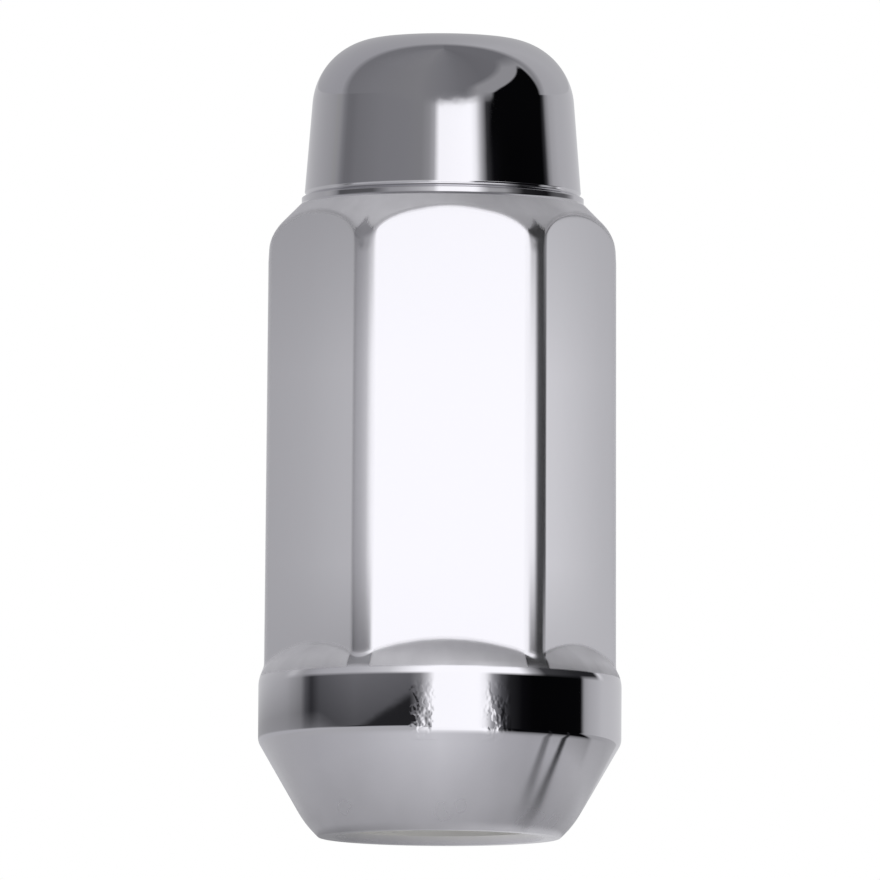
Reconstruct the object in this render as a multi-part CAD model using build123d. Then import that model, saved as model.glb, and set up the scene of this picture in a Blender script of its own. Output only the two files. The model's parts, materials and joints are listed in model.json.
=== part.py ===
from build123d import *

import os
from math import cos, radians, tan

# Closed-end acorn lug nut, extended length, in millimetres.
# The nut stands on its open end: the end face is at z = 0, the bore axis is Z,
# and one flat of the hexagon faces -Y.

# Overall
overall_length = 49.0

# Hexagon: drafted from the head of the bulge up to the shoulder
hex_across_flats = 19.0
hex_corner_radius = 1.5
hex_draft = 0.23

# Conical seat at the open end
seat_angle = 60.0
seat_height = 5.8
end_face_diameter = 14.72
lead_angle = 45.0
lead_radius = 6.0
end_edge_radius = 0.2

# Bulge above the seat, and the slope from it up to the hexagon
bulge_diameter = 22.12
bulge_height = 4.38
bulge_lower_radius = 1.0
bulge_upper_radius = 2.0
flange_slope = 36.4
hex_sink = 1.5

# Shoulder: the hexagon's top is turned to a cone that runs up to the neck
neck_height = 38.7
neck_diameter = 17.2
neck_land = 0.34
shoulder_angle = 45.0
shoulder_radius = 3.0
turning_clearance = 0.02

# Domed cap above the neck, with a fine groove between them
groove_width = 0.36
groove_depth = 0.1
cap_rim_diameter = 16.84
cap_taper = 4.6
cap_corner_radius = 4.24
crown_rise = 0.7

# Blind bore for an M12 x 1.5 thread, drawn at its tapping drill's size
tap_drill_diameter = 10.5
bore_depth = 36.0
countersink_diameter = 13.0
countersink_angle = 90.0
drill_point_angle = 118.0


def slope(angle):
    """Sideways run for each millimetre of height, for an angle from the axis."""
    return tan(radians(angle))


def turned(*corners, radii=()):
    """Solid of revolution about Z: corners are (radius, height), radii round some of them."""
    with BuildSketch(Plane.XZ) as section:
        with BuildLine():
            Polyline(*corners, close=True)
        make_face()
        for corner, radius in radii:
            fillet(section.vertices().sort_by_distance(corner)[0], radius)
    return revolve(section.sketch, Axis.Z)


def seat_and_bulge():
    """Open end face, seat cone, bulge and the sloping flange above it."""
    bulge_radius = bulge_diameter / 2
    end_radius = end_face_diameter / 2
    seat_run = slope(seat_angle / 2)
    lead_run = slope(lead_angle)
    cone_start = bulge_radius - seat_height * seat_run
    lead_height = (cone_start - end_radius) / (lead_run - seat_run)
    bulge_top = seat_height + bulge_height
    flat_distance = hex_across_flats / 2
    inner_radius = flat_distance - hex_sink
    inner_top = bulge_top + (bulge_radius - inner_radius) * slope(flange_slope)
    end_corner = (end_radius, 0)
    lead_corner = (end_radius + lead_height * lead_run, lead_height)
    seat_corner = (bulge_radius, seat_height)
    bulge_corner = (bulge_radius, bulge_top)
    return turned(
        (0, 0),
        end_corner,
        lead_corner,
        seat_corner,
        bulge_corner,
        (inner_radius, inner_top),
        (0, inner_top),
        radii=(
            (end_corner, end_edge_radius),
            (lead_corner, lead_radius),
            (seat_corner, bulge_lower_radius),
            (bulge_corner, bulge_upper_radius),
        ),
    )


def hexagon_body():
    """Drafted hexagon with rounded corners, its top turned to the shoulder cone."""
    hex_base = seat_height + bulge_height - hex_sink
    flat_distance = hex_across_flats / 2
    sharp_corner = flat_distance / cos(radians(30))
    rounded_corner = sharp_corner - hex_corner_radius * (1 / cos(radians(30)) - 1)
    with BuildSketch(Plane.XY.offset(hex_base)) as hexagon:
        RegularPolygon(flat_distance, 6, major_radius=False)
        fillet(hexagon.vertices(), hex_corner_radius)
    prism = extrude(hexagon.sketch, neck_height - hex_base, taper=hex_draft)

    # The turned blank follows the drafted corners just outside them, then the shoulder
    draft_run = slope(hex_draft)
    blank_radius = rounded_corner + turning_clearance
    neck_radius = neck_diameter / 2
    shoulder_run = slope(shoulder_angle)
    rise = neck_height - hex_base
    shoulder_drop = (blank_radius - rise * draft_run - neck_radius) / (shoulder_run - draft_run)
    shoulder_corner = (neck_radius + shoulder_drop * shoulder_run, neck_height - shoulder_drop)
    blank = turned(
        (0, hex_base),
        (blank_radius, hex_base),
        shoulder_corner,
        (neck_radius, neck_height),
        (0, neck_height),
        radii=((shoulder_corner, shoulder_radius),),
    )
    return prism & blank


def domed_cap():
    """Neck land, groove and the tapered, domed cap."""
    neck_radius = neck_diameter / 2
    rim_radius = cap_rim_diameter / 2
    land_top = neck_height + neck_land
    rim_height = land_top + groove_width
    crown_edge = overall_length - crown_rise
    corner_radius = rim_radius - (crown_edge - rim_height) * slope(cap_taper)
    crown_corner = (corner_radius, crown_edge)
    groove_bottom = (rim_radius - groove_depth, land_top + groove_width / 2)
    root = neck_height - neck_land
    with BuildSketch(Plane.XZ) as section:
        with BuildLine():
            Polyline(
                (0, overall_length),
                (0, root),
                (neck_radius, root),
                (neck_radius, land_top),
                groove_bottom,
                (rim_radius, rim_height),
                crown_corner,
            )
            TangentArc((0, overall_length), crown_corner, tangent=(1, 0))
        make_face()
        fillet(section.vertices().sort_by_distance(crown_corner)[0], cap_corner_radius)
    return revolve(section.sketch, Axis.Z)


def blind_bore():
    """Countersink, tapping drill's cylinder and drill point, as one cutter."""
    bore_radius = tap_drill_diameter / 2
    mouth_radius = countersink_diameter / 2
    countersink_depth = (mouth_radius - bore_radius) / slope(countersink_angle / 2)
    point_height = bore_radius / slope(drill_point_angle / 2)
    return turned(
        (0, 0),
        (mouth_radius, 0),
        (bore_radius, countersink_depth),
        (bore_radius, bore_depth),
        (0, bore_depth + point_height),
    )


lug_nut = seat_and_bulge() + hexagon_body() + domed_cap() - blind_bore()

os.makedirs("parts", exist_ok=True)
export_step(lug_nut, "parts/lug_nut.step")
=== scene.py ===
import json
from math import atan2, ceil, cos, pi, radians, sin, sqrt, tan, tau

import bpy
from bpy.props import FloatProperty, FloatVectorProperty, IntProperty, PointerProperty
from bpy.types import Operator, Panel, PropertyGroup
from mathutils import Matrix, Vector


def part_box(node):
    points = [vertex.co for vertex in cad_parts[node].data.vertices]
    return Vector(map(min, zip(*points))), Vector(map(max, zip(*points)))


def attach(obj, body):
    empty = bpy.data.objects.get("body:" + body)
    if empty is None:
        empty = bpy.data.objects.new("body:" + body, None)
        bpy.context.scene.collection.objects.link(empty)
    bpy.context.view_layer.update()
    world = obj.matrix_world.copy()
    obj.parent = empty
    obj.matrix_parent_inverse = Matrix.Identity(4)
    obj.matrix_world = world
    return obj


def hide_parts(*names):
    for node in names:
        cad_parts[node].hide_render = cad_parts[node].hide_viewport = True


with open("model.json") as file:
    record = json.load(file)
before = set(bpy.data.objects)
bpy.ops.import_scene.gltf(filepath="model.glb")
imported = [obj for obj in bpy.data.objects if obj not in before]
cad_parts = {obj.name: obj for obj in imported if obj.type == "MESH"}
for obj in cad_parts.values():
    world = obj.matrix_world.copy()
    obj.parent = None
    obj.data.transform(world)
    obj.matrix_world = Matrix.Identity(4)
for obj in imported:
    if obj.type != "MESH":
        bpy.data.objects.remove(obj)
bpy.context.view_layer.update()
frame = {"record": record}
nut_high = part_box("lug_nut")[1]
mounts = {mount["name"]: mount for mount in frame["record"]["mounts"]}

bl_info = {
    "name": "Acorn Lug Nut",
    "version": (1, 0, 0),
    "blender": (4, 5, 0),
    "location": "View3D > Sidebar > Lug Nut",
    "description": "Chrome plated acorn lug nut with its thread, and a small studio around it",
    "category": "Object",
}

MM = 0.001


def mm(*values):
    """Millimetres in metres."""
    return tuple(value * MM for value in values)


def deg(*values):
    """Degrees in radians."""
    return tuple(radians(value) for value in values)


# Kinds of node that are used often
MATH = "ShaderNodeMath"
SPAN = "ShaderNodeMapRange"
MIX = "ShaderNodeMix"
COMPARE = "FunctionNodeCompare"
SWITCH = "GeometryNodeSwitch"

# Rows of the nut's surface, as steps between the creases, and the finest turn of a rounding
FLANGE_ROWS = 14
FLAT_ROWS = 40
SHOULDER_ROWS = 16
CROWN_ROWS = 8
ARC_STEP = radians(5)
CAP_ARC_STEP = radians(3.5)
SUPPORT = 0.06 * MM
# A row that the hexagon doesn't reach has this station; the others run from 0 to 3
TURNED = -1.0

# How far each part's finish lies from mirror (0) to satin (1)
SEAT_SATIN = 0.45
FLANGE_SATIN = 1.0
CORNER_SATIN = 0.3
BORE_SATIN = 0.8
# How far past a flat's end the corner's finish takes over, and where it is full
CORNER_STARTS = mm(-0.1, 0.1)
CORNER_RIDGE = mm(0.1, 0.8)
# Stations where the shoulder's satin begins and is full, and how much later on a ridge
SHOULDER_FROM, SHOULDER_FULL = 1.987, 1.999
RIDGE_LATER, RIDGE_SOFTER = 0.36, 0.14
# Station at which the flange's satin has run out on the flats
ROOT_TO = 1.012
SIDES = 6
# Edges that fold more than this stay sharp, and points closer than this are one
CREASE = radians(28)
WELD = 0.0001 * MM
# A metric thread's flank, its flat at the root as a share of the pitch, and the slope it runs out at
THREAD_FLANK = radians(30)
ROOT_FLAT = 1 / 8
RUNOUT_SLOPE = 0.5
DRILL_CORNER = 0.3 * MM


def linear(colour):
    """An sRGB hex colour as linear red, green and blue."""
    parts = [int(colour[i : i + 2], 16) / 255 for i in (1, 3, 5)]
    return [c / 12.92 if c <= 0.04045 else ((c + 0.055) / 1.055) ** 2.4 for c in parts]


def opaque(colour):
    return (*linear(colour), 1)


def length(name, description, millimetres):
    return FloatProperty(
        name=name, description=description, default=millimetres * MM, min=0, unit="LENGTH"
    )


def angle(name, description, degrees):
    return FloatProperty(name=name, description=description, default=radians(degrees), subtype="ANGLE")


def tint(name, description, colour):
    return FloatVectorProperty(
        name=name, description=description, default=linear(colour), subtype="COLOR", min=0, max=1
    )


class NutSizes(PropertyGroup):
    overall_length: length("Length", "From the open end to the crown", nut_high[2] / MM)
    bulge_diameter: length("Bulge", "Across the bulge", 22.12)
    across_flats: length("Across flats", "Hexagon at its foot", 19.0)
    corner_radius: length("Hexagon corners", "Rounding of the hexagon's corners", 1.5)
    draft: angle("Draft", "Taper of the hexagon's flats", 0.23)
    hexagon_foot: length("Hexagon foot", "Height the draft starts from", 8.68)
    seat_height: length("Seat", "Height of the conical seat", 5.8)
    seat_angle: angle("Seat angle", "Included angle of the seat", 60)
    end_diameter: length("End face", "Across the open end", 14.72)
    lead_angle: angle("Lead angle", "Slope of the lead-in, from the axis", 45)
    lead_round: length("Lead round", "Between the lead-in and the seat", 6.0)
    end_round: length("End round", "Edge of the open end", 0.2)
    bulge_top: length("Bulge top", "Height where the flange meets the bulge", 10.18)
    bulge_lower_round: length("Bulge lower round", "Edge between seat and bulge", 1.0)
    bulge_upper_round: length("Bulge upper round", "Edge between bulge and flange", 2.0)
    flange_slope: angle("Flange slope", "Rise of the flange to the hexagon", 36.4)
    neck_height: length("Neck height", "Top of the shoulder", 38.7)
    neck_diameter: length("Neck", "Across the land above the shoulder", 17.2)
    neck_land: length("Neck land", "Height of the land", 0.34)
    shoulder_slope: angle("Shoulder slope", "Rise of the shoulder to the neck", 45)
    shoulder_round: length("Shoulder round", "Turned edge of the shoulder", 3.0)
    turning_clearance: length("Turning clearance", "Blank beyond the corners", 0.02)
    groove_width: length("Groove width", "Fine groove under the cap", 0.36)
    groove_depth: length("Groove depth", "Fine groove under the cap", 0.1)
    cap_rim_diameter: length("Cap rim", "Across the foot of the cap", 16.84)
    cap_taper: angle("Cap taper", "Lean of the cap's wall", 4.6)
    cap_round: length("Cap round", "Between the cap's wall and crown", 4.24)
    crown_rise: length("Crown rise", "Height of the crown's arc", 0.7)
    fine_round: length("Fine round", "Plated edges of the neck and groove", 0.08)
    crest_blend: length("Crest blend", "Plating's rounding of the shoulder edge", 0.22)
    root_blend: length("Root blend", "Fillet where the flats rise", 0.3)
    bore_depth: length("Bore depth", "Full depth of the drilled wall", 36.0)
    drill_point: angle("Drill point", "Included angle of the drill's tip", 118)
    countersink: length("Countersink", "Across the mouth of the bore", 13.0)
    thread_diameter: length("Thread", "Nominal diameter", 12.0)
    thread_pitch: length("Pitch", "Distance between threads", 1.5)
    thread_runout: length("Runout", "Drilled wall left above the thread", 2.0)
    columns: IntProperty(name="Columns", description="Steps round the nut", default=288)
    crowding: FloatProperty(
        name="Crowding", description="How closely columns crowd to the corners", default=0.75
    )


class ChromeLook(PropertyGroup):
    plating: tint("Plating", "Chrome's own colour", "#D4D3D7")
    clouded: tint("Clouded", "Satin chrome where it is dullest", "#BEBDC1")
    satin_metal: FloatProperty(
        name="Satin metal", description="How far satin chrome still mirrors", default=0.72, min=0, max=1
    )
    bore: tint("Bore", "Unplated steel in the bore", "#DEDDDB")


class StudioLook(PropertyGroup):
    azimuth: angle("Azimuth", "Camera's turn round the nut", -3)
    elevation: angle("Elevation", "Camera's height above the level", -4.85)
    roll: angle("Roll", "Camera's roll", 0.33)
    distance: length("Distance", "From the camera to the nut", 1500)
    view_width: length("View width", "Across the picture at the nut", 53.63)
    aim_height: length("Aim height", "Height the camera looks at", 24.3)
    tent_radius: length("Tent radius", "Reach of the reflected cards", 50)
    tent_wall: length("Tent wall", "Height of the reflected cards", 56)


def new_object(name, data):
    """A new object in the scene."""
    made = bpy.data.objects.new(name, data)
    bpy.context.scene.collection.objects.link(made)
    return made


def add(tree, kind, *inputs, sockets=None, **settings):
    """Add a node with its settings, fill its inputs in order or by name, and give its output."""
    node = tree.nodes.new(kind)
    for name, value in settings.items():
        setattr(node, name, value)
    given = list(zip([s for s in node.inputs if s.enabled], inputs))
    given += [(node.inputs[name], value) for name, value in (sockets or {}).items()]
    for socket, value in given:
        if isinstance(value, bpy.types.NodeSocket):
            tree.links.new(value, socket)
        elif value is not None:
            socket.default_value = value
    return next((s for s in node.outputs if s.enabled), None)


# ---- The nut's profile: rows of (radius, height, station, helix, satin, bare) ----


def rounded_path(corners):
    """Points along a line whose inner corners are (radius, height, rounding)."""
    spots = [Vector(corner[:2]) for corner in corners]
    points = [spots[0]]
    for i in range(1, len(spots) - 1):
        back = (spots[i - 1] - spots[i]).normalized()
        onward = (spots[i + 1] - spots[i]).normalized()
        half = back.angle(onward) / 2
        rounding = corners[i][2]
        reach = rounding / tan(half)
        centre = spots[i] + (back + onward).normalized() * rounding / sin(half)
        arm = spots[i] + back * reach - centre
        side = 1 if back.x * onward.y - back.y * onward.x < 0 else -1
        turn = pi - 2 * half
        steps = max(3, ceil(turn / ARC_STEP))
        points.append(spots[i] + back * (reach + SUPPORT))
        for step in range(steps + 1):
            points.append(centre + Matrix.Rotation(side * turn * step / steps, 2) @ arm)
        points.append(spots[i] + onward * (reach + SUPPORT))
    return points + [spots[-1]]


def rows_of(points, satin=0.0, bare=0.0):
    return [(point.x, point.y, TURNED, 0.0, satin, bare) for point in points]


def round_start(sizes):
    """Height where the bulge's upper round begins."""
    turn = pi / 2 - sizes.flange_slope
    return sizes.bulge_top - sizes.bulge_upper_round * tan(turn / 2)


def shoulder_corner(sizes):
    """Radius and height of the shoulder's edge before it is rounded."""
    across = sizes.across_flats / 2 / cos(pi / SIDES)
    rounded = across - sizes.corner_radius * (1 / cos(pi / SIDES) - 1)
    narrowed = (sizes.neck_height - sizes.hexagon_foot) * tan(sizes.draft)
    radius = rounded + sizes.turning_clearance - narrowed
    drop = (radius - sizes.neck_diameter / 2) / (1 / tan(sizes.shoulder_slope) - tan(sizes.draft))
    return sizes.neck_diameter / 2 + drop, sizes.neck_height - drop


def thread_span(sizes):
    """Lowest and highest height of the thread."""
    low = (sizes.countersink - sizes.thread_diameter) / 2
    return low, sizes.bore_depth - sizes.thread_runout


def bore_rows(sizes):
    """Drilled end, thread and countersink, from the drill's tip down to the open end."""
    drill = mounts["thread"]["dims"]["r_mm"] * MM
    root = sizes.thread_diameter / 2
    low, high = thread_span(sizes)
    tip = sizes.bore_depth + drill / tan(sizes.drill_point / 2)
    drilled = rounded_path([(0, tip), (drill, sizes.bore_depth, DRILL_CORNER), (drill, high)])
    rows = rows_of(drilled, BORE_SATIN, 1.0)
    flank = (root - drill) * tan(THREAD_FLANK)
    root_flat = sizes.thread_pitch * ROOT_FLAT
    crest_flat = sizes.thread_pitch - root_flat - 2 * flank
    turns = ceil((high - low) / sizes.thread_pitch) + 1
    for turn in range(turns):
        height = high - turn * sizes.thread_pitch
        for radius, drop in ((drill, crest_flat), (root, flank), (root, root_flat), (drill, flank)):
            rows.append((radius, height, TURNED, 1.0, BORE_SATIN, 1.0))
            height -= drop
    return rows


def seat_rows(sizes):
    """Countersink's edge, open end, lead-in, seat and bulge, up to the bulge's upper round."""
    bulge = sizes.bulge_diameter / 2
    low = thread_span(sizes)[0]
    seat_run = tan(sizes.seat_angle / 2)
    lead_run = tan(sizes.lead_angle)
    end = sizes.end_diameter / 2
    cone_start = bulge - sizes.seat_height * seat_run
    lead = (cone_start - end) / (lead_run - seat_run)
    corners = [
        (sizes.thread_diameter / 2, low),
        (sizes.countersink / 2, 0, sizes.fine_round),
        (end, 0, sizes.end_round),
        (end + lead * lead_run, lead, sizes.lead_round),
        (bulge, sizes.seat_height, sizes.bulge_lower_round),
        (bulge, round_start(sizes)),
    ]
    rows = rows_of(rounded_path(corners))
    turned_to = sizes.seat_height - sizes.bulge_lower_round / 2
    return [(*row[:4], SEAT_SATIN if row[1] < turned_to else 0.0, 0.0) for row in rows]


def eased(count):
    """Steps from 0 to 1, closest together at both ends."""
    shares = [i / count for i in range(count + 1)]
    return [u * u / (u * u + (1 - u) * (1 - u)) for u in shares]


def hexagon_rows():
    """Flange, flats and shoulder: the tree gives these rows their place."""
    rows = []
    for station, count in enumerate((FLANGE_ROWS, FLAT_ROWS, SHOULDER_ROWS)):
        rows += [(0.0, 0.0, station + share, 0.0, 0.0, 0.0) for share in eased(count)[1:]]
    return rows


def cap_rows(sizes):
    """Top of the shoulder, land, groove, tapered wall and crown."""
    neck = sizes.neck_diameter / 2
    rim = sizes.cap_rim_diameter / 2
    land_top = sizes.neck_height + sizes.neck_land
    rim_height = land_top + sizes.groove_width
    crown_edge = sizes.overall_length - sizes.crown_rise
    wall = Vector((-sin(sizes.cap_taper), cos(sizes.cap_taper)))
    # The crown's sphere passes through the top of the tapered wall and the nut's tip
    edge_radius = rim - (crown_edge - rim_height) * tan(sizes.cap_taper)
    sphere = (edge_radius**2 + sizes.crown_rise**2) / (2 * sizes.crown_rise)
    middle = Vector((0, sizes.overall_length - sphere))
    # The corner's arc touches the wall and, from inside, the crown's sphere
    inset = Vector((rim, rim_height)) - Vector((wall.y, -wall.x)) * sizes.cap_round
    along = inset - middle
    reach = sphere - sizes.cap_round
    slide = sqrt((along @ wall) ** 2 - along.length_squared + reach**2) - along @ wall
    centre = inset + wall * slide
    last = atan2(centre.y - middle.y, centre.x)
    steps = ceil((last - sizes.cap_taper) / CAP_ARC_STEP)
    turns = [sizes.cap_taper + (last - sizes.cap_taper) * i / steps for i in range(steps + 1)]
    corner = [centre + sizes.cap_round * Vector((cos(turn), sin(turn))) for turn in turns]
    crown = []
    for i in range(1, CROWN_ROWS + 1):
        turn = last + (pi / 2 - last) * i / CROWN_ROWS
        crown.append(middle + sphere * Vector((max(cos(turn), 0), sin(turn))))
    crown[-1].x = 0
    top = sizes.neck_height
    neck_path = rounded_path(
        [
            (neck + sizes.fine_round * 2, top - sizes.fine_round * 2 * tan(sizes.shoulder_slope)),
            (neck, top, sizes.fine_round),
            (neck, land_top, sizes.fine_round / 2),
            (rim - sizes.groove_depth, land_top + sizes.groove_width / 2, sizes.fine_round),
            (rim, rim_height, sizes.fine_round / 2),
            corner[0],
        ]
    )
    support = corner[0] - wall * SUPPORT
    return rows_of(neck_path[1:-1] + [support] + corner + crown)


def profile_object(sizes):
    """The nut's half section as a line of points, with what the tree asks of each row."""
    rows = bore_rows(sizes) + seat_rows(sizes) + hexagon_rows() + cap_rows(sizes)
    mesh = bpy.data.meshes.new("nut_profile")
    mesh.from_pydata([(row[0], 0, row[1]) for row in rows], [], [])
    for column, name in enumerate(("station", "helix", "satin", "bare"), 2):
        values = mesh.attributes.new(name, "FLOAT", "POINT")
        values.data.foreach_set("value", [row[column] for row in rows])
    return new_object("nut_profile", mesh)


# ---- The tree that turns the profile, raises the hexagon and winds the thread ----


def leg(tree, slant, other):
    """The second leg of a right-angled triangle, or 0 where the first is longer than the slant."""
    squares = add(
        tree,
        MATH,
        add(tree, MATH, slant, slant, operation="MULTIPLY"),
        add(tree, MATH, other, other, operation="MULTIPLY"),
        operation="SUBTRACT",
    )
    return add(tree, MATH, add(tree, MATH, squares, 0.0, operation="MAXIMUM"), operation="SQRT")


def hexagon_radius(tree, turn, half_flats, corner):
    """Radius of a hexagon with rounded corners in the direction turn, and how far past its flat."""
    sixth = tau / SIDES
    folded = add(tree, MATH, turn, sixth, operation="MODULO")
    from_flat = add(tree, MATH, folded, sixth / 2, operation="SUBTRACT")
    off_flat = add(tree, MATH, from_flat, operation="ABSOLUTE")
    flat = add(tree, MATH, half_flats, add(tree, MATH, off_flat, operation="COSINE"), operation="DIVIDE")
    off_corner = add(tree, MATH, sixth / 2, off_flat, operation="SUBTRACT")
    inset = add(tree, MATH, half_flats, corner, operation="SUBTRACT")
    centre = add(tree, MATH, inset, 1 / cos(sixth / 2), operation="MULTIPLY")
    near = add(tree, MATH, centre, add(tree, MATH, off_corner, operation="COSINE"), operation="MULTIPLY")
    aside = add(tree, MATH, centre, add(tree, MATH, off_corner, operation="SINE"), operation="MULTIPLY")
    arc = add(tree, MATH, near, leg(tree, corner, aside), operation="ADD")
    # The arc takes over where the flat ends, at the corner's own tangent
    flat_end = add(tree, MATH, inset, tan(sixth / 2), operation="MULTIPLY")
    aside_flat = add(
        tree, MATH, half_flats, add(tree, MATH, off_flat, operation="TANGENT"), operation="MULTIPLY"
    )
    on_arc = add(tree, COMPARE, aside_flat, flat_end, data_type="FLOAT", operation="GREATER_THAN")
    past = add(tree, MATH, aside_flat, flat_end, operation="SUBTRACT")
    return add(tree, SWITCH, on_arc, flat, arc, input_type="FLOAT"), past


class TurnedEdge:
    """A turned edge in the tree: a cylinder below, a round, and a cone rising inwards."""

    def __init__(self, tree, radius, height, slope, rounding):
        self.tree = tree
        half_turn = add(tree, MATH, slope, -0.5, pi / 4, operation="MULTIPLY_ADD")
        reach = add(
            tree, MATH, rounding, add(tree, MATH, half_turn, operation="TANGENT"), operation="MULTIPLY"
        )
        self.rounding = rounding
        self.centre = add(tree, MATH, radius, rounding, operation="SUBTRACT")
        self.start = add(tree, MATH, height, reach, operation="SUBTRACT")
        inward = add(tree, MATH, reach, add(tree, MATH, slope, operation="COSINE"), operation="MULTIPLY")
        upward = add(tree, MATH, reach, add(tree, MATH, slope, operation="SINE"), operation="MULTIPLY")
        self.cone_radius = add(tree, MATH, radius, inward, operation="SUBTRACT")
        self.cone_height = add(tree, MATH, height, upward, operation="ADD")
        self.rise = add(tree, MATH, slope, operation="TANGENT")

    def height_at(self, radius):
        """Height at which the edge is this wide."""
        tree = self.tree
        inside = add(tree, MATH, self.cone_radius, radius, operation="SUBTRACT")
        cone = add(tree, MATH, inside, self.rise, self.cone_height, operation="MULTIPLY_ADD")
        off_centre = add(tree, MATH, radius, self.centre, operation="SUBTRACT")
        arc = add(tree, MATH, self.start, leg(tree, self.rounding, off_centre), operation="ADD")
        on_cone = add(tree, COMPARE, inside, 0.0, data_type="FLOAT", operation="GREATER_THAN")
        return add(tree, SWITCH, on_cone, arc, cone, input_type="FLOAT")

    def radius_at(self, height):
        """Width of the edge at this height; below its round it opens out of the way."""
        tree = self.tree
        above = add(tree, MATH, height, self.cone_height, operation="SUBTRACT")
        run = add(tree, MATH, above, self.rise, operation="DIVIDE")
        cone = add(tree, MATH, self.cone_radius, run, operation="SUBTRACT")
        up = add(tree, MATH, height, self.start, operation="SUBTRACT")
        risen = add(tree, MATH, up, 0.0, operation="MAXIMUM")
        below = add(tree, MATH, up, 0.0, operation="MINIMUM")
        arc = add(tree, MATH, self.centre, leg(tree, self.rounding, risen), operation="ADD")
        arc = add(tree, MATH, arc, below, operation="SUBTRACT")
        on_cone = add(tree, COMPARE, above, 0.0, data_type="FLOAT", operation="GREATER_THAN")
        return add(tree, SWITCH, on_cone, arc, cone, input_type="FLOAT")


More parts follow.
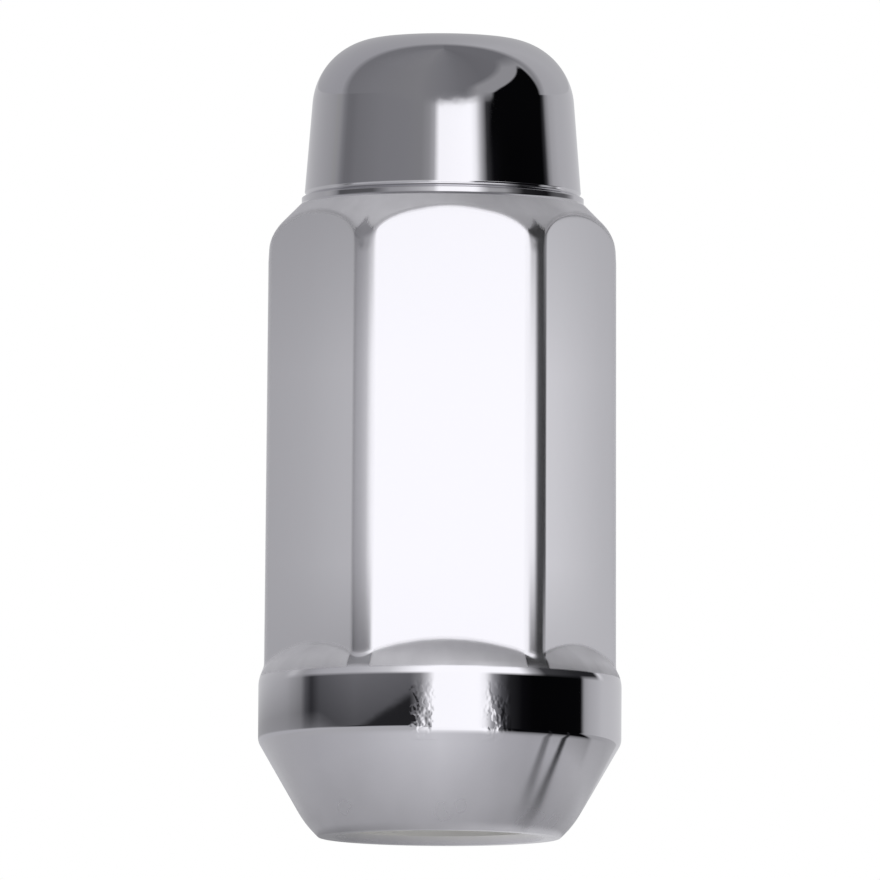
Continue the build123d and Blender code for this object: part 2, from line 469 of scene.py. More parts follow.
def nut_tree(values, material):
    """Geometry Nodes tree of the whole nut, and the modifier inputs it needs by identifier."""
    tree = bpy.data.node_groups.new("Turned and hexed nut", "GeometryNodeTree")
    tree.interface.new_socket("Geometry", in_out="INPUT", socket_type="NodeSocketGeometry")
    tree.interface.new_socket("Geometry", in_out="OUTPUT", socket_type="NodeSocketGeometry")
    settings = {}
    for name, value in values.items():
        kind = "NodeSocketInt" if isinstance(value, int) else "NodeSocketFloat"
        socket = tree.interface.new_socket(name, in_out="INPUT", socket_type=kind)
        settings[socket.identifier] = value
    given = tree.nodes.new("NodeGroupInput").outputs
    profile = given["Geometry"]

    counted = add(tree, "GeometryNodeAttributeDomainSize", profile)
    across = add(tree, MATH, given["Columns"], 1.0, operation="ADD")
    grid = add(tree, "GeometryNodeMeshGrid", 1.0, 1.0, across, counted)
    place = add(tree, "ShaderNodeSeparateXYZ", add(tree, "GeometryNodeInputPosition")).node.outputs
    share = add(tree, MATH, place["Y"], 0.5, operation="ADD")
    last = add(tree, MATH, counted, 1.0, operation="SUBTRACT")
    row = add(tree, MATH, add(tree, MATH, share, last, operation="MULTIPLY"), operation="ROUND")

    found = {}
    for name in ("station", "helix", "satin", "bare"):
        read = add(tree, "GeometryNodeInputNamedAttribute", name, data_type="FLOAT")
        found[name] = add(tree, "GeometryNodeSampleIndex", profile, read, row, data_type="FLOAT")
    spot = add(
        tree,
        "GeometryNodeSampleIndex",
        profile,
        add(tree, "GeometryNodeInputPosition"),
        row,
        data_type="FLOAT_VECTOR",
    )
    drawn = add(tree, "ShaderNodeSeparateXYZ", spot).node.outputs

    # Columns crowd towards the hexagon's corners, which lie every sixth of a turn from +X
    even = add(tree, MATH, place["X"], 0.5, operation="ADD")
    even = add(tree, MATH, even, tau, operation="MULTIPLY")
    wave = add(tree, MATH, add(tree, MATH, even, SIDES, operation="MULTIPLY"), operation="SINE")
    lag = add(tree, MATH, wave, given["Crowding"], operation="MULTIPLY")
    lag = add(tree, MATH, lag, -1 / SIDES, operation="MULTIPLY")
    turn = add(tree, MATH, even, lag, operation="ADD")

    flange = TurnedEdge(
        tree, given["Bulge Radius"], given["Bulge Top"], given["Flange Slope"], given["Flange Round"]
    )
    shoulder = TurnedEdge(
        tree,
        given["Shoulder Radius"],
        given["Shoulder Height"],
        given["Shoulder Slope"],
        given["Shoulder Round"],
    )

    def flats_at(height):
        """Hexagon's radius at this height, narrowed by its draft."""
        risen = add(tree, MATH, height, given["Hexagon Foot"], operation="SUBTRACT")
        narrowed = add(tree, MATH, risen, given["Draft"], operation="MULTIPLY")
        half = add(tree, MATH, given["Half Across Flats"], narrowed, operation="SUBTRACT")
        return hexagon_radius(tree, turn, half, given["Corner Radius"])

    low = flange.height_at(flats_at(given["Bulge Top"])[0])
    high = shoulder.height_at(flats_at(given["Shoulder Height"])[0])
    height = flange.start
    steps = ((flange.start, low), (low, high), (high, given["Shoulder Top"]))
    for number, (bottom, top) in enumerate(steps):
        passed = add(tree, MATH, found["station"], float(number), operation="SUBTRACT")
        part = add(tree, "ShaderNodeClamp", passed, 0.0, 1.0)
        rise = add(tree, MATH, top, bottom, operation="SUBTRACT")
        height = add(tree, MATH, part, rise, height, operation="MULTIPLY_ADD")
    sides, past = flats_at(height)
    cut = add(
        tree, MATH, sides, shoulder.radius_at(height), given["Crest Blend"], operation="SMOOTH_MIN"
    )
    sided = add(tree, MATH, flange.radius_at(height), cut, given["Root Blend"], operation="SMOOTH_MAX")

    # Thread rows climb one pitch in a turn, between the run-out and the countersink
    climb = add(tree, MATH, turn, 1 / tau, operation="MULTIPLY")
    climb = add(tree, MATH, climb, given["Pitch"], operation="MULTIPLY")
    wound = add(tree, MATH, drawn["Z"], climb, operation="ADD")
    wound = add(tree, "ShaderNodeClamp", wound, given["Thread Start"], given["Thread End"])
    left = add(tree, MATH, given["Thread End"], wound, operation="SUBTRACT")
    shallow = add(tree, MATH, left, RUNOUT_SLOPE, given["Drill Radius"], operation="MULTIPLY_ADD")
    mouth = add(tree, MATH, given["Mouth Radius"], wound, operation="SUBTRACT")
    tapped = add(tree, MATH, drawn["X"], shallow, operation="MINIMUM")
    tapped = add(tree, MATH, tapped, mouth, operation="MAXIMUM")

    on_side = add(tree, COMPARE, found["station"], TURNED / 2, data_type="FLOAT", operation="GREATER_THAN")
    in_thread = add(tree, COMPARE, found["helix"], 0.5, data_type="FLOAT", operation="GREATER_THAN")
    radius = add(tree, SWITCH, on_side, drawn["X"], sided, input_type="FLOAT")
    radius = add(tree, SWITCH, in_thread, radius, tapped, input_type="FLOAT")
    level = add(tree, SWITCH, on_side, drawn["Z"], height, input_type="FLOAT")
    level = add(tree, SWITCH, in_thread, level, wound, input_type="FLOAT")
    point = add(
        tree,
        "ShaderNodeCombineXYZ",
        add(tree, MATH, radius, add(tree, MATH, turn, operation="COSINE"), operation="MULTIPLY"),
        add(tree, MATH, radius, add(tree, MATH, turn, operation="SINE"), operation="MULTIPLY"),
        level,
    )

    # The flange's cone and the shoulder are turned after forging, so they are satin like the seat,
    # and the polishing wheel leaves the hexagon's corners softer than its flats
    rounded = add(tree, SPAN, past, *CORNER_STARTS)
    ridge = add(tree, SPAN, past, *CORNER_RIDGE)
    late = add(tree, MATH, ridge, -RIDGE_LATER, found["station"], operation="MULTIPLY_ADD")
    full = add(tree, MATH, ridge, RIDGE_SOFTER, SHOULDER_FULL, operation="MULTIPLY_ADD")
    on_shoulder = add(tree, SPAN, late, SHOULDER_FROM, full)
    on_flange = add(tree, COMPARE, found["station"], 1.0, data_type="FLOAT", operation="LESS_THAN")
    worn = add(tree, MATH, rounded, CORNER_SATIN, operation="MULTIPLY")
    at_root = add(tree, SPAN, found["station"], ROOT_TO, 1.0)
    at_root = add(tree, MATH, at_root, on_flange, operation="MAXIMUM")
    between = add(tree, MATH, rounded, -1.0, 1.0, operation="MULTIPLY_ADD")
    brushed = add(tree, MATH, at_root, between, operation="MULTIPLY")
    brushed = add(tree, MATH, brushed, FLANGE_SATIN, operation="MULTIPLY")
    cone = add(tree, MATH, worn, brushed, operation="MAXIMUM")
    brushed = add(tree, MATH, on_shoulder, FLANGE_SATIN, operation="MULTIPLY")
    cone = add(tree, MATH, cone, brushed, operation="MAXIMUM")
    satin = add(tree, SWITCH, on_side, found["satin"], cone, input_type="FLOAT")

    made = grid
    for name, value in (("satin", satin), ("bare", found["bare"])):
        made = add(tree, "GeometryNodeStoreNamedAttribute", made, None, name, value, data_type="FLOAT")
    made = add(tree, "GeometryNodeSetPosition", made, None, point)
    made = add(tree, "GeometryNodeMergeByDistance", made, None, WELD)
    made = add(tree, "GeometryNodeSetShadeSmooth", made, None, True)
    fold = add(tree, "GeometryNodeInputMeshEdgeAngle")
    folded = add(tree, COMPARE, fold, CREASE, data_type="FLOAT", operation="GREATER_THAN")
    made = add(tree, "GeometryNodeSetShadeSmooth", made, folded, False, domain="EDGE")
    made = add(tree, "GeometryNodeRealizeInstances", made)
    made = add(tree, "GeometryNodeSetMaterial", made, None, material)
    tree.links.new(made, tree.nodes.new("NodeGroupOutput").inputs[0])
    return tree, settings


def plain_mesh(made, tree, settings, name):
    """Run the tree on an object and keep its result as a plain mesh in a new object."""
    modifier = made.modifiers.new("Form", "NODES")
    modifier.node_group = tree
    for identifier, value in settings.items():
        modifier[identifier] = value
    depsgraph = bpy.context.evaluated_depsgraph_get()
    mesh = bpy.data.meshes.new_from_object(made.evaluated_get(depsgraph), depsgraph=depsgraph)
    made.modifiers.remove(modifier)
    bpy.data.objects.remove(made)
    mesh.name = name
    return new_object(name, mesh)


# ---- Finish ----

# Blistered patches round the bulge: bearing and reach in degrees, and how raised
BLISTERED = ((-8, 5, 1.0), (15, 5, 0.8))
BLISTER_SIZE, BLISTER_HEIGHT, BLISTER_EDGE = 0.75, 0.02 * MM, (0.42, 0.62)
BLISTERS_FROM, BLISTERS_FADE = 5.2 * MM, mm(9.0, 6.4)
# Heights up to which the bulge's round is polished, and below which the satin seat lies
POLISHED_TO = mm(9.66, 9.76)
SEAT_BELOW = 6 * MM
# Roughness from mirror to satin, and the size, edges and strength of its clouding
ROUGHNESS = (0.035, 0.52)
CLOUD_SIZE, CLOUD_EDGE, CLOUD_VARIES = 2.4, (0.2, 0.8), (0.8, 1.2)
PEEL_SIZE, PEEL_HEIGHT = 1.3, 0.0012 * MM


def per_mm(size):
    """Texture scale whose features are this many millimetres across."""
    return 1 / (size * MM)


def empty_material(name):
    """A new material, its emptied tree, and a place on the object it covers."""
    material = bpy.data.materials.new(name)
    material.use_nodes = True
    tree = material.node_tree
    tree.nodes.clear()
    return material, tree, add(tree, "ShaderNodeTexCoord").node.outputs["Object"]


def bearings(tree, place):
    """Axes of a place, how far ahead of the nut's axis it lies, and its bearing from straight ahead."""
    axes = add(tree, "ShaderNodeSeparateXYZ", place).node.outputs
    ahead = add(tree, MATH, axes["Y"], -1.0, operation="MULTIPLY")
    return axes, ahead, add(tree, MATH, axes["X"], ahead, operation="ARCTAN2")


def where_all(tree, *masks):
    """Three masks or more multiplied: the result holds only where every one of them does."""
    held = masks[0]
    for mask in masks[1:]:
        held = add(tree, MATH, held, mask, operation="MULTIPLY")
    return held


def blister_height(tree, place, axes, bearing):
    """Blisters in two patches above the bulge's lower edge, from 0 to 1."""
    patches = 0.0
    for centre, reach, raised in BLISTERED:
        off = add(tree, MATH, bearing, radians(centre), operation="SUBTRACT")
        off = add(tree, MATH, off, operation="ABSOLUTE")
        patch = add(tree, SPAN, off, radians(reach), radians(reach / 2), 0.0, raised)
        patches = add(tree, MATH, patches, patch, operation="MAXIMUM")
    fading = add(tree, SPAN, axes["Z"], *BLISTERS_FADE)
    on_bulge = add(tree, MATH, axes["Z"], BLISTERS_FROM, operation="GREATER_THAN")
    drawn_out = add(tree, "ShaderNodeVectorMath", place, (1, 1, 0.8), operation="MULTIPLY")
    grain = {"Scale": per_mm(BLISTER_SIZE), "Detail": 2.0, "Roughness": 0.5}
    blisters = add(tree, "ShaderNodeTexNoise", drawn_out, sockets=grain)
    raised = add(tree, SPAN, blisters, *BLISTER_EDGE)
    return where_all(tree, fading, on_bulge, patches, raised)


def chrome_plating(look):
    """Bright decorative chrome on cold-forged steel: a near mirror, satin where it was turned."""
    material, tree, place = empty_material("chrome_plating")
    satin = add(tree, "ShaderNodeAttribute", attribute_name="satin").node.outputs["Fac"]
    bare = add(tree, "ShaderNodeAttribute", attribute_name="bare").node.outputs["Fac"]
    axes, _, bearing = bearings(tree, place)
    # The bulge's round is polished part of the way up, and the turned cone above it is satin
    above = add(tree, SPAN, axes["Z"], *POLISHED_TO)
    under = add(tree, MATH, axes["Z"], SEAT_BELOW, operation="LESS_THAN")
    turned = add(tree, MATH, above, under, operation="MAXIMUM")
    satin = add(tree, MATH, satin, turned, operation="MULTIPLY")

    # Slow clouding of the satin parts, drawn out along the axis like the polishing strokes
    strokes = add(tree, "ShaderNodeVectorMath", place, (1, 1, 0.3), operation="MULTIPLY")
    grain = {"Scale": per_mm(CLOUD_SIZE), "Detail": 3.0}
    cloud = add(tree, "ShaderNodeTexNoise", strokes, sockets=grain)
    varied = add(tree, SPAN, cloud, *CLOUD_EDGE, *CLOUD_VARIES)
    rough = add(tree, SPAN, satin, 0.0, 1.0, *ROUGHNESS)
    rough = add(tree, MATH, rough, varied, operation="MULTIPLY")
    dulled = add(tree, SPAN, cloud, *CLOUD_EDGE)
    dulled = add(tree, MATH, dulled, satin, operation="MULTIPLY")
    colour = add(tree, MIX, dulled, (*look.plating, 1), (*look.clouded, 1), data_type="RGBA")
    colour = add(tree, MIX, bare, colour, (*look.bore, 1), data_type="RGBA")

    # Orange peel of the nickel under the chrome, which makes the edges of reflections swim
    peel = add(tree, "ShaderNodeTexNoise", place, sockets={"Scale": per_mm(PEEL_SIZE), "Detail": 2.0})
    normal = add(tree, "ShaderNodeBump", 1.0, PEEL_HEIGHT, sockets={"Height": peel})
    raised = blister_height(tree, place, axes, bearing)
    relief = {"Height": raised, "Normal": normal}
    normal = add(tree, "ShaderNodeBump", 1.0, BLISTER_HEIGHT, sockets=relief)
    metal = add(tree, SPAN, satin, 0.0, 1.0, 1.0, look.satin_metal)
    finish = {"Base Color": colour, "Metallic": metal, "Roughness": rough, "Normal": normal}
    surface = add(tree, "ShaderNodeBsdfPrincipled", sockets=finish)
    add(tree, "ShaderNodeOutputMaterial", surface)
    return material


# ---- Stage ----

# Steps round a thing of the stage, and up the tent's lid
STAGE_STEPS = 96
TENT_LID_STEPS = 12
# Plain level of the surround's light, and how far the nut stands beside the picture's middle
SOFT_LEVEL = 0.55
AIM_ASIDE = 0.085 * MM


def stage_material(name, look):
    """An empty material, its tree, a place on the stage, and that place as faced from the camera."""
    material, tree, place = empty_material(name)
    faced = add(tree, "ShaderNodeVectorRotate", place, (0, 0, 0), (0, 0, 1), -look.azimuth)
    return material, tree, place, *bearings(tree, faced)


def turned_stage(name, profile, material, tip=None, smooth=False):
    """A thing of the stage: a profile of (radius, height) turned about the nut's axis."""
    points = [
        (radius * cos(tau * i / STAGE_STEPS), radius * sin(tau * i / STAGE_STEPS), height)
        for radius, height in profile
        for i in range(STAGE_STEPS)
    ]
    faces = []
    for low in range(0, len(points) - STAGE_STEPS, STAGE_STEPS):
        high = low + STAGE_STEPS
        for i in range(STAGE_STEPS):
            j = (i + 1) % STAGE_STEPS
            faces.append((low + j, low + i, high + i, high + j))
    if tip is not None:
        top = len(points) - STAGE_STEPS
        faces += [(top + (i + 1) % STAGE_STEPS, top + i, len(points)) for i in range(STAGE_STEPS)]
        points.append((0, 0, tip))
    mesh = bpy.data.meshes.new(name)
    mesh.from_pydata(points, [], faces)
    mesh.materials.append(material)
    mesh.polygons.foreach_set("use_smooth", [smooth] * len(mesh.polygons))
    made = new_object(name, mesh)
    return made


def by_bearing(tree, bearing, stops):
    """Colour round the nut, from stops of (bearing in degrees, sRGB hex)."""
    out = add(tree, "ShaderNodeValToRGB", add(tree, SPAN, bearing, -pi, pi))
    elements = out.node.color_ramp.elements
    while len(elements) < len(stops):
        elements.new(0.5)
    for element, (degrees, colour) in zip(elements, stops):
        element.position = (degrees + 180) / 360
        element.color = opaque(colour)
    return out


# Makes up for what the plating takes from a reflection
CARD_GLOW = 1.58
# Cards round the nut: bearing from the camera in degrees, then the colour chrome shows of them
# at the foot, waist and head of the tent
CARDS = (
    (-180, "#B0B0B2", "#B4B4B6", "#B0B0B2"),
    (-109, "#9C9C9E", "#9E9EA0", "#909092"),
    (-106, "#9A9A9C", "#A2A2A4", "#8E8E90"),
    (-103, "#98989A", "#ACACAE", "#8C8C8E"),
    (-99, "#909092", "#ACACAE", "#898989"),
    (-95, "#8A8A8C", "#9C9C9E", "#848486"),
    (-90, "#7E7E80", "#8E8E90", "#707073"),
    (-86, "#505053", "#8E8E91", "#656568"),
    (-81, "#2C2C2F", "#949497", "#646467"),
    (-74, "#4E4E51", "#9C9C9F", "#6A6A6D"),
    (-50, "#646467", "#A8A8AB", "#727275"),
    (-30, "#606063", "#BCBCBE", "#747477"),
    (-17, "#5C5C5F", "#E4E4E6", "#777779"),
    (-11, "#78787A", "#F2F2F4", "#848486"),
    (-7, "#B4B4B6", "#F6F6F8", "#9C9C9E"),
    (-3, "#F4F4F6", "#F6F6F8", "#F0F0F2"),
    (22, "#F6F6F8", "#F6F6F8", "#F6F6F8"),
    (26, "#E4E4E6", "#F6F6F8", "#E4E4E6"),
    (30, "#87878A", "#F6F6F8", "#A0A0A2"),
    (35, "#48484B", "#F6F6F8", "#303032"),
    (40, "#202022", "#F6F6F8", "#0A0A0C"),
    (48, "#09090B", "#F0F0F2", "#050506"),
    (55, "#040405", "#A0A0A2", "#040405"),
    (64, "#040405", "#38383A", "#040405"),
    (88, "#050506", "#242426", "#050506"),
    (92, "#070708", "#222224", "#303032"),
    (95, "#8E8E90", "#222224", "#7A7A7C"),
    (100, "#9C9C9E", "#202022", "#969698"),
    (109, "#A6A6A8", "#222224", "#A0A0A2"),
    (114, "#ADADAF", "#C8C8CA", "#A1A1A3"),
    (119, "#AEAEB0", "#AAAAAC", "#A2A2A4"),
    (180, "#B0B0B2", "#B4B4B6", "#B0B0B2"),
)
# Heights between which the cards go over from foot to waist, and from waist to head
FOOT_TO_WAIST = mm(13.6, 20)
WAIST_TO_HEAD = mm(32, 48)
# A pale skirt hangs from the left cards, and its hem drops further round
SKIRT_SIDE = deg(-12, -18)
SKIRT_HEM = mm(8, 5)
HEM_SIDE = deg(-45, -75)
HEM_DROP = 2.2 * MM
# The left cards darken towards their foot, and a dark wedge leans beside the white card
LEFT_SIDE = deg(-12, -17)
DARK_FOOT, DARK_FOOT_SHARE = mm(12.6, 9.4), 0.45
WEDGE, WEDGE_SHARE = mm(12.5, 11.7), 0.93
WEDGE_LEAN = 0.065 * MM / radians(1)
# Dark cards at the one height that the land above the shoulder shows: (bearings in, bearings out). The
# right card is painted shade for the gap under the cap, the left a dark reflection
LAND_SHADE_CARDS = ((deg(88, 94), deg(128, 114)), (deg(-90, -86), deg(-40, -55)))
LAND_SHADE_FROM, LAND_SHADE_TO, LAND_SHADE_SHARE = mm(42, 42.3), mm(44.5, 43.5), 0.8
# Lid of the tent by bearing: before the nut, and behind it
LID_BEFORE = (
    (-90, "#6B6B6E"),
    (-60, "#727275"),
    (-20, "#777779"),
    (2, "#6F6F72"),
    (14, "#68686B"),
    (34, "#626265"),
    (70, "#656568"),
)
LID_BEHIND = (
    (-180, "#969698"),
    (-120, "#929295"),
    (-90, "#8E8E91"),
    (90, "#9A9A9C"),
    (130, "#A0A0A2"),
    (180, "#969698"),
)
# The lid's two halves part along a line that leans back as it rises
LID_LEAN, LID_START, LID_PARTS = 0.2, 2 * MM, mm(-4, 4)
LID_AHEAD = (0.0, -6 * MM)
WALL_TO_LID = mm(-0.95, -0.35)
# The black card reaches into the lid with a slanting upper edge
SLANT_FROM, SLANT_TOP, SLANT_RISE = radians(40.5), 55 * MM, 0.66 * MM / radians(1)
CARD_EDGE, CARD_TOP, CARD_FOOT = mm(-1, 1), mm(86, 82), mm(51, 54)
CARD_SIDES = (deg(34, 39), deg(91, 88))
# A paler band runs beside that edge
PALE_BAND, PALE_BAND_SIDE, PALE_BAND_TOP = mm(-21, -14), (0.3, 0.5), mm(95, 86)


def wall_colour(tree, height, bearing):
    """The cards: white ahead, black to the right and grey round about."""
    foot, waist, head = (
        by_bearing(tree, bearing, [(card[0], card[part]) for card in CARDS]) for part in (1, 2, 3)
    )
    wall = add(tree, MIX, add(tree, SPAN, height, *FOOT_TO_WAIST), foot, waist, data_type="RGBA")
    wall = add(tree, MIX, add(tree, SPAN, height, *WAIST_TO_HEAD), wall, head, data_type="RGBA")
    dropped = add(tree, SPAN, bearing, *HEM_SIDE)
    hem = add(tree, MATH, dropped, -HEM_DROP, height, operation="MULTIPLY_ADD")
    skirt = add(tree, SPAN, hem, *SKIRT_HEM)
    skirt = add(tree, MATH, skirt, add(tree, SPAN, bearing, *SKIRT_SIDE), operation="MULTIPLY")
    wall = add(tree, MIX, skirt, wall, opaque("#A0A0A3"), data_type="RGBA")

    foot_dark = add(tree, SPAN, height, *DARK_FOOT, 0.0, DARK_FOOT_SHARE)
    leaning = add(tree, MATH, bearing, -WEDGE_LEAN, height, operation="MULTIPLY_ADD")
    wedge = add(tree, SPAN, leaning, *WEDGE, 0.0, WEDGE_SHARE)
    dark = add(tree, MATH, foot_dark, wedge, operation="MAXIMUM")
    unskirted = add(tree, MATH, skirt, -1.0, 1.0, operation="MULTIPLY_ADD")
    dark = where_all(tree, dark, add(tree, SPAN, bearing, *LEFT_SIDE), unskirted)
    wall = add(tree, MIX, dark, wall, opaque("#141416"), data_type="RGBA")

    # Painted shade on the land: dark cards that it mirrors, the right one in place of the shadow in the
    # gap under the cap
    sides = 0.0
    for reaches in LAND_SHADE_CARDS:
        edges = [add(tree, SPAN, bearing, *reach) for reach in reaches]
        side = add(tree, MATH, *edges, operation="MULTIPLY")
        sides = add(tree, MATH, sides, side, operation="MAXIMUM")
    heights = [add(tree, SPAN, height, *ends) for ends in (LAND_SHADE_FROM, LAND_SHADE_TO)]
    land = where_all(tree, *heights, sides, LAND_SHADE_SHARE)
    return add(tree, MIX, land, wall, opaque("#3A3A3C"), data_type="RGBA")


def tent_material(look):
    """Studio cards as the plating shows them, under a lid that is dark ahead and light behind."""
    material, tree, _, axes, _, bearing = stage_material("studio_cards", look)
    height = axes["Z"]
    wall = wall_colour(tree, height, bearing)
    risen = add(tree, MATH, height, look.tent_wall, operation="SUBTRACT")
    line = add(tree, MATH, risen, LID_LEAN, LID_START, operation="MULTIPLY_ADD")
    off = add(tree, MATH, axes["Y"], line, operation="SUBTRACT")
    lids = [by_bearing(tree, bearing, stops) for stops in (LID_BEFORE, LID_BEHIND)]
    lid = add(tree, MIX, add(tree, SPAN, off, *LID_PARTS), *lids, data_type="RGBA")

    slant = add(tree, MATH, bearing, SLANT_FROM, operation="SUBTRACT")
    slant = add(tree, MATH, slant, SLANT_RISE, SLANT_TOP, operation="MULTIPLY_ADD")
    under = add(tree, MATH, slant, height, operation="SUBTRACT")
    pale = where_all(
        tree,
        add(tree, SPAN, under, *PALE_BAND),
        add(tree, SPAN, bearing, *PALE_BAND_SIDE),
        add(tree, SPAN, height, *PALE_BAND_TOP),
        add(tree, SPAN, off, *LID_AHEAD),
    )
    lid = add(tree, MIX, pale, lid, opaque("#868688"), data_type="RGBA")
    colour = add(tree, MIX, add(tree, SPAN, risen, *WALL_TO_LID), wall, lid, data_type="RGBA")

    sides = [add(tree, SPAN, bearing, *side) for side in CARD_SIDES]
    ends = [add(tree, SPAN, height, *end) for end in (CARD_TOP, CARD_FOOT)]
    card = where_all(tree, add(tree, SPAN, under, *CARD_EDGE), *sides, *ends)
    colour = add(tree, MIX, card, colour, opaque("#050506"), data_type="RGBA")
    add(tree, "ShaderNodeOutputMaterial", add(tree, "ShaderNodeEmission", colour, CARD_GLOW))
    return material


def build_tent(look):
    """Backdrop of cards round the nut, at a distance. It is left to mirror reflections alone."""
    rim = look.tent_radius
    profile = [(rim, 0.0), (rim, look.tent_wall)]
    for i in range(1, TENT_LID_STEPS):
        turn = pi / 2 * i / TENT_LID_STEPS
        profile.append((rim * cos(turn), look.tent_wall + rim * sin(turn)))
    tip = look.tent_wall + rim
    tent = turned_stage("studio_tent", profile, tent_material(look), tip, smooth=True)
    for rays in ("camera", "diffuse", "transmission", "volume_scatter", "shadow"):
        setattr(tent, f"visible_{rays}", False)


# The table as chrome shows it, by bearing from the camera in degrees: painted light and shade that it
# gives off to glossy rays, lightest ahead
TABLE = (
    (-180, "#A6A6A8"),
    (-110, "#9C9C9E"),
    (-70, "#9C9C9F"),
    (-40, "#A6A6A9"),
    (-15, "#B6B6B9"),
    (0, "#BEBEC1"),
    (15, "#B4B4B7"),
    (32, "#A0A0A3"),
    (45, "#98989B"),
    (60, "#9E9EA1"),
    (84, "#A2A2A4"),
    (110, "#A4A4A6"),
    (180, "#A6A6A8"),
)
# The far part of it, where the white and black cards stand: a painted reflection of those cards
TABLE_FAR = (
    (-180, "#A6A6A8"),
    (-95, "#9C9C9E"),
    (-14, "#A4A4A6"),
    (-6, "#F0F0F2"),
    (24, "#F6F6F8"),
    (31, "#606062"),
    (40, "#08080A"),
    (90, "#050506"),
    (95, "#909092"),
    (180, "#A6A6A8"),
)
# Distances from the nut's axis: the opening and the edge, and where the greys change
TABLE_RIM = (5.5 * MM, 2.0)
TABLE_LEVEL = -0.02 * MM
NEAR_TO_FAR = mm(15, 24)
SHADED_CLOSE, SHADE = mm(14, 8), 0.6
BENEATH = mm(7.9, 7.5)
BENEATH_SIDES = mm(-6, 5)
# Two dark streaks painted into the table's reflection to the right of the nut, for the seat to mirror:
# distance ahead in mm, slope, half width in mm, strength
DARK_STREAKS = ((5.45, 0.05, 0.7, 0.95), (4.65, 0.33, 0.8, 0.6))
DARK_STREAKS_FROM = mm(4.5, 9)


def floor_material(look):
    """Matt white table: unseen from beneath, and soft greys in the plating, which are painted light and
    shade that it gives off to glossy rays.
    """
    material, tree, place, axes, ahead, bearing = stage_material("matt_white_table", look)
    reach = add(tree, "ShaderNodeVectorMath", place, operation="LENGTH").node.outputs["Value"]
    parts = [by_bearing(tree, bearing, stops) for stops in (TABLE, TABLE_FAR)]
    greys = add(tree, MIX, add(tree, SPAN, reach, *NEAR_TO_FAR), *parts, data_type="RGBA")
    close = add(tree, SPAN, reach, *SHADED_CLOSE, 0.0, SHADE)
    greys = add(tree, MIX, close, greys, opaque("#8C8C8E"), data_type="RGBA")
    # Under the open end the light comes from the right
    lit_side = add(tree, SPAN, axes["X"], *BENEATH_SIDES)
    below = add(tree, MIX, lit_side, opaque("#808082"), opaque("#B6B6B8"), data_type="RGBA")
    greys = add(tree, MIX, add(tree, SPAN, reach, *BENEATH), greys, below, data_type="RGBA")
    # Painted reflection: two dark streaks in the table's greys, which the seat's cone mirrors
    streaks = 0.0
    for place_ahead, slope, half, strength in DARK_STREAKS:
        line = add(tree, MATH, axes["X"], -slope, ahead, operation="MULTIPLY_ADD")
        off = add(tree, MATH, line, place_ahead * MM, operation="SUBTRACT")
        off = add(tree, MATH, off, operation="ABSOLUTE")
        streak = add(tree, SPAN, off, half * MM, half / 3 * MM, 0.0, strength)
        streaks = add(tree, MATH, streaks, streak, operation="MAXIMUM")
    streaks = add(tree, MATH, streaks, add(tree, SPAN, axes["X"], *DARK_STREAKS_FROM), operation="MULTIPLY")
    greys = add(tree, MIX, streaks, greys, opaque("#202022"), data_type="RGBA")
    matt = add(tree, "ShaderNodeBsdfDiffuse", opaque("#F4F4F4"))
    # Glossy rays see the painted greys as the table's own glow, not its lighting
    painted_gloss = add(tree, "ShaderNodeEmission", greys, CARD_GLOW)
    clear = add(tree, "ShaderNodeBsdfTransparent")
    gloss = add(tree, "ShaderNodeLightPath").node.outputs["Is Glossy Ray"]
    side = add(tree, "ShaderNodeNewGeometry").node.outputs["Backfacing"]
    lit = add(tree, "ShaderNodeMixShader", gloss, matt, painted_gloss)
    add(tree, "ShaderNodeOutputMaterial", add(tree, "ShaderNodeMixShader", side, lit, clear))
    return material


def build_floor(look):
    """Round table with an opening under the nut, through which light reaches the bore."""
    turned_stage("table", [(radius, TABLE_LEVEL) for radius in TABLE_RIM], floor_material(look))


def build_world():
    """White to the camera and in gloss, and a plain soft level for the light itself."""
    world = bpy.data.worlds.new("White surround")
    world.use_nodes = True
    tree = world.node_tree
    tree.nodes.clear()
    rays = add(tree, "ShaderNodeLightPath").node.outputs
    seen = add(tree, MATH, rays["Is Camera Ray"], rays["Is Glossy Ray"], operation="MAXIMUM")
    seen = add(tree, MATH, seen, rays["Is Transmission Ray"], operation="MAXIMUM")
    soft = add(tree, "ShaderNodeBackground", opaque("#FFFFFF"), SOFT_LEVEL)
    white = add(tree, "ShaderNodeBackground", opaque("#FFFFFF"), 1.0)
    add(tree, "ShaderNodeOutputWorld", add(tree, "ShaderNodeMixShader", seen, soft, white))
    bpy.context.scene.world = world


def build_lamp(name, place, size, energy):
    """A soft square lamp aimed at the nut, which lifts its satin parts."""
    light = bpy.data.lights.new(name, "AREA")
    light.size = size
    light.energy = energy
    lamp = new_object(name, light)
    lamp.location = place
    lamp.rotation_mode = "QUATERNION"
    lamp.rotation_quaternion = Vector(place).to_track_quat("Z", "Y")
    lamp.visible_camera = False


def build_camera(look):
    """Long lens a little below the level of the open end, rolled by the nut's slight lean."""
    sensor = 36.0
    data = bpy.data.cameras.new("camera")
    data.sensor_width = sensor
    data.lens = sensor * look.distance / look.view_width
    data.clip_start = 0.05
    data.clip_end = 20
    camera = new_object("camera", data)
    turn, rise = look.azimuth, look.elevation
    back = Vector((sin(turn) * cos(rise), -cos(turn) * cos(rise), sin(rise)))
    turned = back.to_track_quat("Z", "Y").to_matrix() @ Matrix.Rotation(look.roll, 3, "Z")
    aim = Vector((0, 0, look.aim_height)) - turned @ Vector((AIM_ASIDE, 0, 0))
    camera.matrix_world = Matrix.Translation(aim + back * look.distance) @ turned.to_4x4()
    bpy.context.scene.camera = camera


# ---- Operators and panel ----


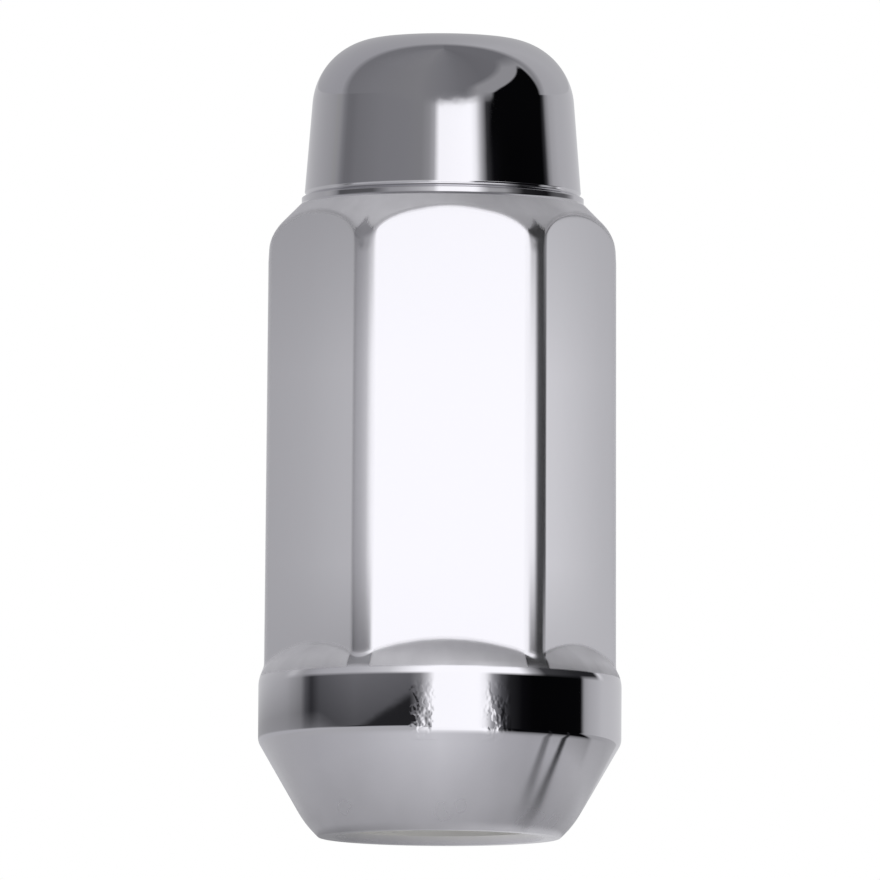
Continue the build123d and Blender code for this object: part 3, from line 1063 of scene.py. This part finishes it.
class NUT_OT_plated_nut(Operator):
    """Build the nut's plated surface, with its hexagon, seat, cap and thread"""

    bl_idname = "nut.plated_nut"
    bl_label = "Plated Nut"

    def execute(self, context):
        sizes = context.scene.nut_sizes
        shoulder_radius, shoulder_height = shoulder_corner(sizes)
        low, high = thread_span(sizes)
        values = {
            "Columns": sizes.columns,
            "Crowding": sizes.crowding,
            "Half Across Flats": sizes.across_flats / 2,
            "Hexagon Foot": sizes.hexagon_foot,
            "Draft": tan(sizes.draft),
            "Corner Radius": sizes.corner_radius,
            "Bulge Radius": sizes.bulge_diameter / 2,
            "Bulge Top": sizes.bulge_top,
            "Flange Slope": sizes.flange_slope,
            "Flange Round": sizes.bulge_upper_round,
            "Shoulder Radius": shoulder_radius,
            "Shoulder Height": shoulder_height,
            "Shoulder Slope": sizes.shoulder_slope,
            "Shoulder Round": sizes.shoulder_round,
            "Shoulder Top": sizes.neck_height - sizes.fine_round * 2,
            "Crest Blend": sizes.crest_blend,
            "Root Blend": sizes.root_blend,
            "Pitch": sizes.thread_pitch,
            "Thread Start": low,
            "Thread End": high,
            "Drill Radius": mounts["thread"]["dims"]["r_mm"] * MM,
            "Mouth Radius": sizes.countersink / 2,
        }
        tree, settings = nut_tree(values, chrome_plating(context.scene.chrome_look))
        nut = plain_mesh(profile_object(sizes), tree, settings, "plated_nut")
        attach(nut, "root")
        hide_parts("lug_nut")
        return {"FINISHED"}


class NUT_OT_stage(Operator):
    """Build the camera, table, reflected cards, lamps and surround"""

    bl_idname = "nut.stage"
    bl_label = "Stage"

    def execute(self, context):
        look = context.scene.studio_look
        context.scene.view_settings.view_transform = "Standard"
        build_camera(look)
        build_floor(look)
        build_tent(look)
        build_world()
        build_lamp("key_lamp", place=(-0.25, -0.1, 0.85), size=0.6, energy=2.4)
        build_lamp("fill_lamp", place=(0.25, 0.4, 0.7), size=0.6, energy=1.6)
        return {"FINISHED"}


class NUT_PT_panel(Panel):
    bl_label = "Lug Nut"
    bl_space_type = "VIEW_3D"
    bl_region_type = "UI"
    bl_category = "Lug Nut"

    def draw(self, context):
        self.layout.operator(NUT_OT_stage.bl_idname)
        self.layout.operator(NUT_OT_plated_nut.bl_idname)


GROUPS = {"nut_sizes": NutSizes, "chrome_look": ChromeLook, "studio_look": StudioLook}
CLASSES = (*GROUPS.values(), NUT_OT_plated_nut, NUT_OT_stage, NUT_PT_panel)


def register():
    for each in CLASSES:
        bpy.utils.register_class(each)
    for name, group in GROUPS.items():
        setattr(bpy.types.Scene, name, PointerProperty(type=group))


def unregister():
    for name in GROUPS:
        delattr(bpy.types.Scene, name)
    for each in reversed(CLASSES):
        bpy.utils.unregister_class(each)


def main():
    register()
    bpy.ops.nut.stage()
    bpy.ops.nut.plated_nut()


if __name__ == "__main__":
    main()
